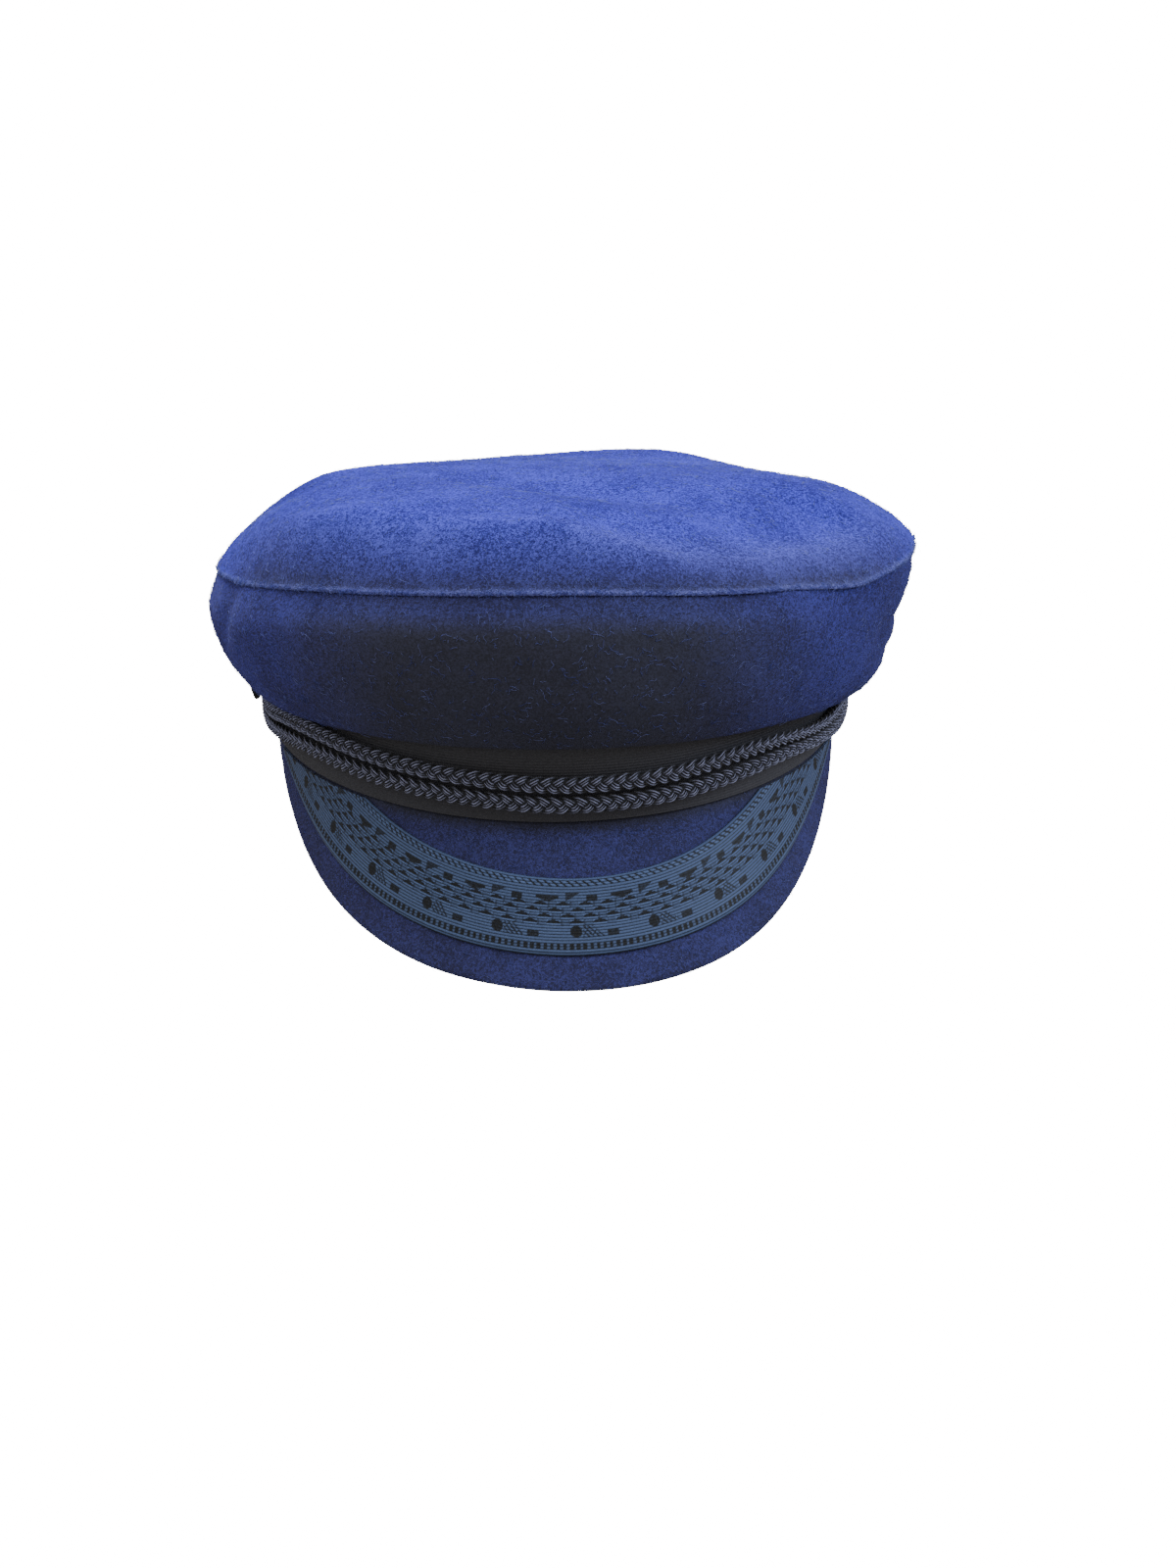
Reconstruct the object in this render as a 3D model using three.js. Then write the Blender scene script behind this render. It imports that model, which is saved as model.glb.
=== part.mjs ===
// A soft wool mariner's cap with a doubled braided cord and a patterned ribbon on its peak, resting on a table.
// Millimetres, +Z up. The front is towards -Y and the wearer's left is +X.
// Each piece is worked out in the head's frame: its XY plane holds the band's lower edge and its origin is the
// middle of that oval. One group then tips the head's frame back to the way the cap rests.
import * as THREE from "three";

// Sizes in millimetres and angles in degrees. An angle of 0 is the front and 90 the wearer's left.
const HEAD = { halfWidth: 87.4, halfLength: 102.4 };
const BAND = { height: 27, wall: 2.4 };
const CLOTH = 2.0;
const GAP = 0.3;
const REST = { tilt: 9.5, sink: 1.0 };
const ORIGIN = { x: 2.0, y: -7.5 };
const RIBBON = { thick: 0.9, low: 0.8, high: 26, end: 88 };
const PEAK = {
  end: 80, reach: 46.2, endReach: 9.4, bow: 1.89, taper: 1.73, corner: 0.55,
  cornerPower: 24, slope: 54, endSlope: 95, thick: 2.6, edge: 1.2, ease: 0.3,
};
// The peak is a little fuller and flatter on one side of its middle.
const PEAK_FULLER = { angle: 20, width: 20, reach: 1.5, flatter: 2.5 };
const TRIM = { margin: 9.6, width: 19.2, thick: 0.8, end: 68, seam: 1.0 };
const CORD = { radius: 2.45, sides: 8, apart: 5.2, loop: 3.9, spread: 12, off: 4.0 };
const BUTTON = { angle: 94, up: 4.0, radius: 6.0, shank: 1.2, sides: 20 };
// The button's face from its seat to its middle: how far inside its radius and how far above its seat.
const BUTTON_FACE = [[0.6, 0], [0, 0.6], [0, 1.1], [1.3, 2.1], [3.4, 2.7], [6.0, 2.9]];
// The turns at which the cord's half circle round a button's shank has its points.
const LOOP_TURNS = [60, 30, 0, -30, -60];
const TOP_CENTRE_Y = -3;

// The degrees between neighbouring sections: fine round the head, coarser on the soft crown.
const FINE_STEP = 4;
const CROWN_STEP = 7.5;

// The crown's side panel. Each point is a distance out from the band and a height up from its lower edge.
// Going up, the cloth hangs over the band in a fold, swells to its belly and ends at the top seam.
const SIDE_COLUMNS = ["angle", "foldOut", "foldUp", "bellyOut", "bellyUp", "seamOut", "seamUp"];
const SIDE = [
  [-180, 4.0, 13.0, 13.0, 27.0, 12.0, 40.0],
  [-135, 3.5, 12.5, 15.0, 28.0, 12.5, 40.0],
  [-95, 3.5, 12.0, 17.5, 33.0, 14.0, 44.5],
  [-65, 3.5, 15.0, 17.5, 39.0, 14.0, 53.0],
  [-35, 4.0, 20.0, 17.5, 51.0, 13.0, 62.8],
  [0, 4.5, 22.5, 17.0, 56.0, 12.5, 67.3],
  [35, 4.5, 19.5, 17.5, 50.5, 14.0, 61.5],
  [65, 5.5, 14.5, 18.5, 36.0, 21.0, 55.5],
  [95, 6.0, 14.0, 20.0, 31.0, 21.2, 51.0],
  [135, 4.0, 13.0, 14.5, 28.0, 15.0, 44.0],
  [180, 4.0, 13.0, 13.0, 27.0, 12.0, 40.0],
];

// The point between the fold and the belly: its share of the belly's reach, and how far it lies out and down.
const LOW = { share: 0.62, out: 1.5, down: 2 };

// The top panel: a slack slope that falls to the back, and the share of the way in that its rim rolls over.
const SLOPE = { top: 82.5, from: -60, fall: 0.1, bow: 0.0007, across: 0.0008 };
const RIM = { ease: 2.2, fullness: 0.62 };
const TOP_ROWS = { count: 11, crowding: 1.8 };
const ROLL_COLUMNS = ["angle", "share"];
const ROLL = [[-180, 0.36], [-90, 0.58], [0, 0.42], [90, 0.42], [180, 0.36]];

// In front the rim first rises steeply and then runs on to the slack slope: how far this holds, how high it
// rises, how deep that part is, how sharply it bends over, and how long the run on is.
const FRONT_COLUMNS = ["angle", "holds", "rise", "deep", "bend", "run"];
const FRONT = [
  [-180, 0, 14, 16, 2.0, 55],
  [-84, 0, 15, 15, 2.0, 50],
  [-70, 1, 16, 15, 2.0, 50],
  [-62, 1, 17, 14.5, 2.0, 50],
  [-54, 1, 17.5, 12.5, 2.0, 50],
  [-46, 1, 18.5, 12.5, 1.9, 50],
  [-38, 1, 19.5, 17, 2.0, 55],
  [-30, 1, 18.2, 19, 2.1, 60],
  [-22, 1, 16.5, 17, 2.0, 60],
  [-15, 1, 16.5, 16, 2.0, 60],
  [-9, 1, 15.5, 14.5, 1.8, 60],
  [-5, 1, 16.2, 13.5, 1.35, 60],
  [-1, 1, 16.2, 12.5, 1.5, 60],
  [3, 1, 14.2, 12, 1.8, 60],
  [8, 1, 12, 11.5, 1.9, 60],
  [14, 1, 9.7, 9, 2.0, 55],
  [20, 1, 7.2, 7.5, 2.0, 48],
  [27, 1, 6, 7.5, 2.0, 42],
  [34, 1, 6, 8, 2.0, 48],
  [42, 1, 8, 10, 2.1, 58],
  [50, 1, 9, 12, 2.2, 62],
  [60, 1, 8, 12, 2.2, 60],
  [74, 0, 12, 14, 2.2, 55],
  [180, 0, 14, 16, 2.0, 55],
];

// Hollows and ridges of the top: centre, reach along and across, turn, and rise.
const DENT_COLUMNS = ["x", "y", "along", "across", "turn", "rise"];
const DENTS = [
  [-55, -20, 34, 50, 0, 2.8],
  [25, -62, 60, 16, -25, -5.0],
  [38, 70, 45, 25, 0, 5.0],
  [-10, 108, 90, 26, 0, 7.5],
  [-74, 3, 17, 30, 0, 3.8],
  [-24, 45, 22, 45, 0, 1.4],
  [90, 6, 13, 24, 0, 1.7],
];

// The height of the line between the cord's two strands, above the band's lower edge.
const CORD_COLUMNS = ["angle", "up"];
const CORD_LINE = [
  [-180, 4.0], [-94, 4.0], [-80, 4.4], [-70, 7.0], [-60, 10.2], [-50, 11.6], [-31, 10.6], [-13, 9.4], [0, 8.5],
  [18, 8.8], [33, 10.5], [43, 10.9], [54, 8.8], [66, 5.6], [80, 4.2], [94, 4.0], [180, 4.0],
];

const { clamp, degToRad, lerp, smoothstep } = THREE.MathUtils;
const tilt = degToRad(REST.tilt);
const bandLift = HEAD.halfLength * Math.sin(tilt) - REST.sink;

// One column of a table at an angle: a closed cubic curve with the same slope on both sides of each row.
function around(table, columns, name, angle) {
  const column = columns.indexOf(name);
  const count = table.length - 1;
  const wrapped = THREE.MathUtils.euclideanModulo(angle - table[0][0], 360) + table[0][0];
  let row = count - 1;
  while (table[row][0] > wrapped) row -= 1;
  const key = (i) => table[THREE.MathUtils.euclideanModulo(i, count)][0] + 360 * Math.floor(i / count);
  const value = (i) => table[THREE.MathUtils.euclideanModulo(i, count)][column];
  const slope = (i) => (value(i + 1) - value(i - 1)) / (key(i + 1) - key(i - 1));
  const step = key(row + 1) - key(row);
  const t = (wrapped - key(row)) / step;
  return (2 * t ** 3 - 3 * t ** 2 + 1) * value(row) + (t ** 3 - 2 * t ** 2 + t) * step * slope(row)
    + (3 * t ** 2 - 2 * t ** 3) * value(row + 1) + (t ** 3 - t ** 2) * step * slope(row + 1);
}

const sideAt = (name, angle) => around(SIDE, SIDE_COLUMNS, name, angle);

// The level direction straight out from the band's oval.
function outward(angle) {
  const a = degToRad(angle);
  return new THREE.Vector3(Math.sin(a) * HEAD.halfLength, -Math.cos(a) * HEAD.halfWidth, 0).normalize();
}

// A point a distance out from the band's oval and a height up from its lower edge.
function at(angle, out, up) {
  const a = degToRad(angle);
  const foot = new THREE.Vector3(Math.sin(a) * HEAD.halfWidth, -Math.cos(a) * HEAD.halfLength, up);
  return foot.addScaledVector(outward(angle), out);
}

// Angles from one end to the other in steps of at most the given size.
function anglesBetween(from, to, step) {
  const count = Math.ceil((to - from) / step - 1e-9);
  return Array.from({ length: count + 1 }, (_, i) => lerp(from, to, i / count));
}

const allRound = (step) => anglesBetween(-180, 180 - step, step);

// Wherever a point would be lower than the table, the cloth is flattened against it.
function settle(point) {
  const height = bandLift - point.y * Math.sin(tilt) + point.z * Math.cos(tilt);
  if (height < 0) {
    point.y += height * Math.sin(tilt);
    point.z -= height * Math.cos(tilt);
  }
  return point;
}

// A closed solid between neighbouring sections, which are loops with the same number of points. A "ring" joins
// the last section to the first. "walls" closes both ends flat, and "poles" closes them round two points.
function loft(sections, ends, poles = []) {
  const size = sections[0].length;
  const last = sections.length - 1;
  const points = [...sections.flat(), ...poles].map(settle);
  const faces = [];
  for (let i = 0; i < (ends === "ring" ? sections.length : last); i += 1) {
    const here = i * size;
    const next = ((i + 1) % sections.length) * size;
    for (let k = 0; k < size; k += 1) {
      const after = (k + 1) % size;
      faces.push([here + k, next + k, next + after], [here + k, next + after, here + after]);
    }
  }
  const base = last * size;
  for (let k = 0; ends === "walls" && k < size / 2 - 1; k += 1) {
    const across = size - 1 - k;
    faces.push([k, k + 1, across - 1], [k, across - 1, across]);
    faces.push([base + k, base + across - 1, base + k + 1], [base + k, base + across, base + across - 1]);
  }
  for (let k = 0; ends === "poles" && k < size; k += 1) {
    const after = (k + 1) % size;
    faces.push([points.length - 2, k, after], [points.length - 1, base + after, base + k]);
  }
  return facingOut(points, faces);
}

// A geometry whose faces are turned outwards, whichever way its sections ran.
function facingOut(points, faces) {
  const volume = faces.reduce((sum, [a, b, c]) => sum + points[a].dot(points[b].clone().cross(points[c])), 0);
  const turned = volume < 0 ? faces.map(([a, b, c]) => [a, c, b]) : faces;
  const geometry = new THREE.BufferGeometry();
  geometry.setAttribute("position", new THREE.Float32BufferAttribute(points.flatMap((p) => p.toArray()), 3));
  geometry.setIndex(turned.flat());
  geometry.computeVertexNormals();
  return geometry;
}

// The wool band: an upright wall round the head.
function headBand() {
  const section = (angle) => [
    at(angle, 0, 0), at(angle, 0, BAND.height), at(angle, -BAND.wall, BAND.height), at(angle, -BAND.wall, 0),
  ];
  return loft(allRound(FINE_STEP).map(section), "ring");
}

// The ribbed ribbon laid round the front of the band.
function bandRibbon() {
  const { thick, low, high, end } = RIBBON;
  const section = (angle) => [
    at(angle, GAP + thick, low), at(angle, GAP + thick, high), at(angle, GAP, high), at(angle, GAP, low),
  ];
  return loft(anglesBetween(-end, end, FINE_STEP).map(section), "walls");
}

// The side panel's outer face at one angle, from the fold up to the seam, as points (out, up): a smooth curve
// through the fold, a low point between, the belly and the seam, heading away from the band's top.
function sideProfile(angle) {
  const fold = new THREE.Vector2(sideAt("foldOut", angle), sideAt("foldUp", angle));
  const belly = new THREE.Vector2(sideAt("bellyOut", angle), sideAt("bellyUp", angle));
  const seam = new THREE.Vector2(sideAt("seamOut", angle), sideAt("seamUp", angle) - GAP / 2);
  const low = new THREE.Vector2(lerp(fold.x, belly.x, LOW.share) + LOW.out, (fold.y + belly.y) / 2 - LOW.down);
  const hem = new THREE.Vector2(0, BAND.height);
  const knots = [hem, fold, low, belly, seam, seam.clone().multiplyScalar(2).sub(belly)];
  const pieces = [[0.5, 1], [0.33, 0.67, 1], [0.33, 0.67, 1]];
  const profile = [fold];
  pieces.forEach((steps, i) => {
    const [a, b, c, d] = knots.slice(i, i + 4);
    steps.forEach((t) => profile.push(new THREE.Vector2(
      catmullRom(t, a.x, b.x, c.x, d.x),
      catmullRom(t, a.y, b.y, c.y, d.y),
    )));
  });
  return profile;
}

// The smooth curve from b to c whose neighbours are a and d.
function catmullRom(t, a, b, c, d) {
  return 0.5 * (2 * b + (c - a) * t + (2 * a - 5 * b + 4 * c - d) * t * t + (3 * b - a - 3 * c + d) * t ** 3);
}

// The side panel: sewn on the band's top edge, folded down over it and up again round the belly to the seam.
function crownSide() {
  const section = (angle) => {
    const profile = sideProfile(angle);
    const near = RIBBON.thick + 3 * GAP;
    const top = BAND.height + GAP;
    const outer = [new THREE.Vector2(near, top), new THREE.Vector2(near, profile[0].y + CLOTH), ...profile];
    const inner = outer.map((p, i) => {
      const along = outer[Math.min(i + 1, outer.length - 1)].clone().sub(outer[Math.max(i - 1, 0)]).normalize();
      return new THREE.Vector2(p.x - along.y * CLOTH, p.y + along.x * CLOTH);
    });
    inner[0].set(near + CLOTH, top + CLOTH);
    inner[inner.length - 1].set(outer.at(-1).x - CLOTH, outer.at(-1).y);
    const hem = [new THREE.Vector2(-BAND.wall, top + CLOTH), new THREE.Vector2(-BAND.wall, top)];
    const loop = [...outer, ...inner.reverse(), ...hem];
    return loop.map((p) => at(angle, p.x, p.y));
  };
  return loft(allRound(CROWN_STEP).map(section), "ring");
}

// The height of the slack top panel over a place, away from its rolled rim.
function slackTop(x, y) {
  const back = y - SLOPE.from;
  const plain = SLOPE.top - SLOPE.fall * back - SLOPE.bow * back ** 2 - SLOPE.across * x ** 2;
  const value = (dent, name) => dent[DENT_COLUMNS.indexOf(name)];
  return DENTS.reduce((height, dent) => {
    const turn = degToRad(value(dent, "turn"));
    const dx = x - value(dent, "x");
    const dy = y - value(dent, "y");
    const along = (dx * Math.cos(turn) + dy * Math.sin(turn)) / value(dent, "along");
    const across = (dy * Math.cos(turn) - dx * Math.sin(turn)) / value(dent, "across");
    return height + value(dent, "rise") * Math.exp(-(along ** 2) - across ** 2);
  }, plain);
}

// A point of the top panel's outer face, a share of the way in from the seam to the middle.
function onTop(angle, share) {
  const rim = at(angle, sideAt("seamOut", angle), sideAt("seamUp", angle) + GAP / 2);
  const x = rim.x * (1 - share);
  const y = lerp(rim.y, TOP_CENTRE_Y, share);
  const slack = slackTop(x, y) - rim.z;
  const rolled = Math.min(share / around(ROLL, ROLL_COLUMNS, "share", angle), 1);
  const plain = slack * (1 - (1 - rolled) ** RIM.ease) ** RIM.fullness;
  const front = (name) => around(FRONT, FRONT_COLUMNS, name, angle);
  const gone = Math.hypot(x - rim.x, y - rim.y);
  const steep = 1 - (1 - Math.min(gone / front("deep"), 1)) ** front("bend");
  const held = front("rise") * steep + (slack - front("rise")) * smoothstep(gone, 0, front("run"));
  return new THREE.Vector3(x, y, rim.z + lerp(plain, held, clamp(front("holds"), 0, 1)));
}

// The top panel: a shell one cloth thick, from the seam to the middle and back along its underside.
function crownTop() {
  const angles = allRound(CROWN_STEP);
  const { count, crowding } = TOP_ROWS;
  const shares = Array.from({ length: count }, (_, i) => (i / count) ** crowding);
  const under = (angle, share) => {
    if (share === 0) return onTop(angle, 0).addScaledVector(outward(angle), -CLOTH);
    const step = 0.01;
    const round = onTop(angle + 2, share).sub(onTop(angle - 2, share));
    const inward = onTop(angle, share + step).sub(onTop(angle, share - Math.min(step, share)));
    return onTop(angle, share).addScaledVector(round.cross(inward).normalize(), -CLOTH);
  };
  const over = shares.map((share) => angles.map((angle) => onTop(angle, share))).reverse();
  const below = shares.map((share) => angles.map((angle) => under(angle, share)));
  const middle = onTop(0, 1);
  return loft([...over, ...below], "poles", [middle, middle.clone().setZ(middle.z - CLOTH)]);
}

// How far the peak's edge lies from the band, how steeply it falls, and a point on its upper face: a run down
// the slope and a lift off the face.
const fuller = (angle) => Math.exp(-(((angle - PEAK_FULLER.angle) / PEAK_FULLER.width) ** 2));

function peakReach(angle) {
  const share = Math.abs(angle) / PEAK.end;
  const bow = Math.max(1 - share ** PEAK.bow, 0) ** PEAK.taper;
  const reach = lerp(PEAK.endReach, PEAK.reach, bow) + PEAK_FULLER.reach * fuller(angle);
  return reach * (1 - PEAK.corner * share ** PEAK.cornerPower);
}

function onPeak(angle, run, lift) {
  const fall = lerp(PEAK.slope, PEAK.endSlope, (angle / PEAK.end) ** 2);
  const slope = degToRad(fall - PEAK_FULLER.flatter * fuller(angle));
  const out = run * Math.cos(slope) + lift * Math.sin(slope);
  return at(angle, out, lift * Math.cos(slope) - run * Math.sin(slope) - GAP);
}

// The peak: a stiff curved board covered in wool, with an eased edge, joined to the band's lower edge.
function peak() {
  const section = (angle) => {
    const reach = peakReach(angle);
    const runs = [reach / 3, (2 * reach) / 3, reach - PEAK.edge];
    const eased = PEAK.ease * PEAK.thick;
    const upper = [...runs.map((run) => onPeak(angle, run, 0)), onPeak(angle, reach, -eased)];
    const lower = [...runs.map((run) => onPeak(angle, run, -PEAK.thick)), onPeak(angle, reach, eased - PEAK.thick)];
    return [at(angle, 0, -GAP), ...upper, ...lower.reverse(), at(angle, -BAND.wall, -GAP)];
  };
  return loft(anglesBetween(-PEAK.end, PEAK.end, FINE_STEP).map(section), "walls");
}

// The patterned ribbon on the peak. It follows the peak's edge, and its inner side runs out under the cord.
function peakTrim() {
  const section = (angle) => {
    const far = peakReach(angle) - TRIM.margin;
    const near = Math.max(far - TRIM.width, TRIM.seam);
    const runs = [near, (near + far) / 2, far];
    const upper = runs.map((run) => onPeak(angle, run, GAP + TRIM.thick));
    const lower = runs.map((run) => onPeak(angle, run, GAP));
    return [...upper, ...lower.reverse()];
  };
  return loft(anglesBetween(-TRIM.end, TRIM.end, FINE_STEP).map(section), "walls");
}

// The cord's middle line as points (angle, up): one strand over the front, round the left button's shank, back
// along the other strand and round the right button's shank.
function cordLine() {
  const degreePerMm = 180 / (Math.PI * HEAD.halfLength);
  const strand = (side) => anglesBetween(-BUTTON.angle, BUTTON.angle, FINE_STEP).map((angle) => {
    const toButton = (BUTTON.angle - Math.abs(angle)) / degreePerMm;
    const half = lerp(CORD.loop, CORD.apart / 2, smoothstep(toButton, 0, CORD.spread));
    return { angle, up: around(CORD_LINE, CORD_COLUMNS, "up", angle) + side * half };
  });
  const loop = (side) => LOOP_TURNS.map((turn) => ({
    angle: side * (BUTTON.angle + CORD.loop * Math.cos(degToRad(turn)) * degreePerMm),
    up: BUTTON.up + side * CORD.loop * Math.sin(degToRad(turn)),
  }));
  return [...strand(1), ...loop(1), ...strand(-1).reverse(), ...loop(-1)];
}

// The doubled cord: one closed loop of round section.
function frontCord() {
  const line = cordLine();
  const points = line.map(({ angle, up }) => at(angle, CORD.off, up));
  const section = (point, i) => {
    const along = points[(i + 1) % points.length].clone().sub(points.at(i - 1)).normalize();
    const out = outward(line[i].angle);
    const across = along.clone().cross(out).normalize();
    return Array.from({ length: CORD.sides }, (_, k) => {
      const turn = ((k + 0.5) * 2 * Math.PI) / CORD.sides;
      return point.clone()
        .addScaledVector(out, CORD.radius * Math.cos(turn))
        .addScaledVector(across, CORD.radius * Math.sin(turn));
    });
  };
  return loft(points.map(section), "ring");
}

// A side button, turned about its shank: a domed cap that holds the cord's loop against the band.
function buttonShape() {
  const seat = CORD.off + CORD.radius + GAP;
  const face = BUTTON_FACE.map(([inset, rise]) => [BUTTON.radius - inset, seat + rise]);
  const profile = [[0, GAP], [BUTTON.shank, GAP], [BUTTON.shank, seat], ...face];
  return new THREE.LatheGeometry(profile.map(([r, out]) => new THREE.Vector2(r, out)), BUTTON.sides);
}

function material(color, roughness) {
  return new THREE.MeshStandardMaterial({ color, roughness, metalness: 0 });
}

const wool = { color: "#2f3f7e", roughness: 0.95 };
const headFrame = new THREE.Group();
headFrame.rotation.x = -tilt;
headFrame.position.set(-ORIGIN.x, -ORIGIN.y, bandLift);

function place(name, geometry, { color, roughness }) {
  const mesh = new THREE.Mesh(geometry, material(color, roughness));
  mesh.name = name;
  headFrame.add(mesh);
  return mesh;
}

place("crown_top", crownTop(), wool);
place("crown_side", crownSide(), wool);
place("head_band", headBand(), wool);
place("band_ribbon", bandRibbon(), { color: "#131419", roughness: 0.6 });
place("peak", peak(), wool);
place("peak_trim", peakTrim(), { color: "#4a5f78", roughness: 0.75 });
place("front_cord", frontCord(), { color: "#2b2d36", roughness: 0.8 });
for (const [name, side] of [["side_button_right", -1], ["side_button_left", 1]]) {
  const button = place(name, buttonShape(), { color: "#17181d", roughness: 0.35 });
  const angle = side * BUTTON.angle;
  button.quaternion.setFromUnitVectors(new THREE.Vector3(0, 1, 0), outward(angle));
  button.position.copy(at(angle, 0, BUTTON.up));
}

const cap = new THREE.Group();
cap.add(headFrame);
export default cap;
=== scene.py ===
"""A soft wool mariner's cap with a doubled plaited cord and a patterned ribbon on its peak, on a pale floor.

Every piece is worked out in millimetres in the head's frame, whose XY plane holds the band's lower edge, with
the front towards -Y and the wearer's left at +X, and is then placed as the cap rests. Angles are in degrees
round the head: 0 is the front, 90 the wearer's left and 180 the back.
"""

import bpy
import mathutils
import numpy as np
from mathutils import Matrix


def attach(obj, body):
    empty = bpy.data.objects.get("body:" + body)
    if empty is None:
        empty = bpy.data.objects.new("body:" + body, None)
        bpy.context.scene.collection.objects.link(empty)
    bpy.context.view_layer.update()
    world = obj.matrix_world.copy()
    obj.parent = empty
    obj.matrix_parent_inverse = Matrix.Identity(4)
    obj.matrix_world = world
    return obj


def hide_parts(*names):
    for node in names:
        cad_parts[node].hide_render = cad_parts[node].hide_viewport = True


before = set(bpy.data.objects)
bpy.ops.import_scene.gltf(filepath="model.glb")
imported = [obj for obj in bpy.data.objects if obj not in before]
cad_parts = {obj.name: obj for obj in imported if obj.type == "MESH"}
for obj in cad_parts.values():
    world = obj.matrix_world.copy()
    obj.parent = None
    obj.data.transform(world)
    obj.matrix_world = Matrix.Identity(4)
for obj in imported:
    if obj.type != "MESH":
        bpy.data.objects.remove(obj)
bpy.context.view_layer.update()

# The band's oval, and how the head's frame lies in the row's frame.
HALF_WIDTH, HALF_LENGTH = 87.4, 102.4
BAND_HEIGHT, BAND_WALL = 27.0, 2.4
CLOTH, GAP = 2.0, 0.3
TILT, SINK = np.radians(9.5), 1.0
ORIGIN_X, ORIGIN_Y = 2.0, -7.5
BAND_LIFT = HALF_LENGTH * np.sin(TILT) - SINK

# The side panel: angle, then out and up for the fold over the band, the belly and the top seam.
SIDE = np.array([
    [-180, 4.0, 13.0, 13.0, 27.0, 12.0, 40.0],
    [-135, 3.5, 12.5, 15.0, 28.0, 12.5, 40.0],
    [-95, 3.5, 12.0, 17.5, 33.0, 14.0, 44.5],
    [-65, 3.5, 15.0, 17.5, 39.0, 14.0, 53.0],
    [-35, 4.0, 20.0, 17.5, 51.0, 13.0, 62.8],
    [0, 4.5, 22.5, 17.0, 56.0, 12.5, 67.3],
    [35, 4.5, 19.5, 17.5, 50.5, 14.0, 61.5],
    [65, 5.5, 14.5, 18.5, 36.0, 21.0, 55.5],
    [95, 6.0, 14.0, 20.0, 31.0, 21.2, 51.0],
    [135, 4.0, 13.0, 14.5, 28.0, 15.0, 44.0],
    [180, 4.0, 13.0, 13.0, 27.0, 12.0, 40.0],
])

# The top panel's rim: angle, and the share of the way in that it rolls over.
ROLL = np.array([[-180, 0.36], [-90, 0.58], [0, 0.42], [90, 0.42], [180, 0.36]])

# In front the rim first rises steeply and then runs on to the slack top: angle, how far this holds, how high
# it rises, how deep that part is, how sharply it bends over, and how long the run on is.
FRONT = np.array([
    [-180, 0, 14, 16, 2.0, 55],
    [-84, 0, 15, 15, 2.0, 50],
    [-70, 1, 16, 15, 2.0, 50],
    [-62, 1, 17, 14.5, 2.0, 50],
    [-54, 1, 17.5, 12.5, 2.0, 50],
    [-46, 1, 18.5, 12.5, 1.9, 50],
    [-38, 1, 19.5, 17, 2.0, 55],
    [-30, 1, 18.2, 19, 2.1, 60],
    [-22, 1, 16.5, 17, 2.0, 60],
    [-15, 1, 16.5, 16, 2.0, 60],
    [-9, 1, 15.5, 14.5, 1.8, 60],
    [-5, 1, 16.2, 13.5, 1.35, 60],
    [-1, 1, 16.2, 12.5, 1.5, 60],
    [3, 1, 14.2, 12, 1.8, 60],
    [8, 1, 12, 11.5, 1.9, 60],
    [14, 1, 9.7, 9, 2.0, 55],
    [20, 1, 7.2, 7.5, 2.0, 48],
    [27, 1, 6, 7.5, 2.0, 42],
    [34, 1, 6, 8, 2.0, 48],
    [42, 1, 8, 10, 2.1, 58],
    [50, 1, 9, 12, 2.2, 62],
    [60, 1, 8, 12, 2.2, 60],
    [74, 0, 12, 14, 2.2, 55],
    [180, 0, 14, 16, 2.0, 55],
])

# Hollows and ridges of the top panel: x, y, reach along, reach across, turn in degrees, rise.
TOP_DENTS = [
    (-55, -20, 34, 50, 0, 2.8),
    (25, -62, 60, 16, -25, -5.0),
    (38, 70, 45, 25, 0, 5.0),
    (-10, 108, 90, 26, 0, 7.5),
    (-74, 3, 17, 30, 0, 3.8),
    (-24, 45, 22, 45, 0, 1.4),
    (90, 6, 13, 24, 0, 1.7),
    (-8, -84, 8, 14, -24, -1.6),
    (84, -50, 20, 7, 60, -1.2),
]

# The side panel's creases: angle, place from 0 at the fold to 3 at the seam, reach round in degrees,
# reach up in places, lean in degrees for each place, and rise.
SIDE_DENTS = [
    (-66, 2.1, 3.0, 0.6, 2.0, -1.5),
    (-57, 2.3, 5.0, 0.5, -3.0, 1.0),
    (-45, 1.3, 2.4, 0.7, -3.0, -0.8),
    (-20, 0.8, 9.0, 0.6, 4.0, -0.7),
    (18, 1.0, 10.0, 0.6, -5.0, -0.6),
    (62, 1.9, 3.0, 0.5, 3.0, -0.9),
    (78, 2.7, 14.0, 0.2, 0.0, 0.8),
    (80, 1.98, 16.0, 0.3, 0.0, -2.6),
    (72, 1.5, 12.0, 0.4, 0.0, -1.4),
    (66, 0.7, 10.0, 0.35, 0.0, 0.8),
    (76, 1.1, 4.0, 0.5, -5.0, -0.9),
    (120, 1.6, 8.0, 0.7, 5.0, -1.4),
    (150, 1.4, 7.0, 0.6, -6.0, 1.2),
    (-168, 1.6, 7.0, 0.8, 5.0, -1.3),
    (-140, 1.5, 9.0, 0.6, -5.0, 1.2),
    (-112, 1.7, 6.0, 0.8, 4.0, -1.3),
]

# Slack in the cloth, as plane waves: wavelength, direction in degrees, phase in degrees, height.
SLACK = [
    (47.0, 20, 10, 0.34),
    (39.0, 85, 130, 0.30),
    (31.0, -40, 200, 0.24),
    (23.0, 60, 300, 0.14),
    (17.0, 10, 70, 0.08),
]

# The seam's small puckers, as waves round the head: how many, phase in radians, how many slower waves
# push them to and fro, how far in radians, and share.
PUCKERS = [
    (61, 0.0, 5, 2.0, 0.5),
    (97, 0.0, 9, 1.5, 0.35),
    (31, 0.7, 0, 0.0, 0.25),
]

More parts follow.
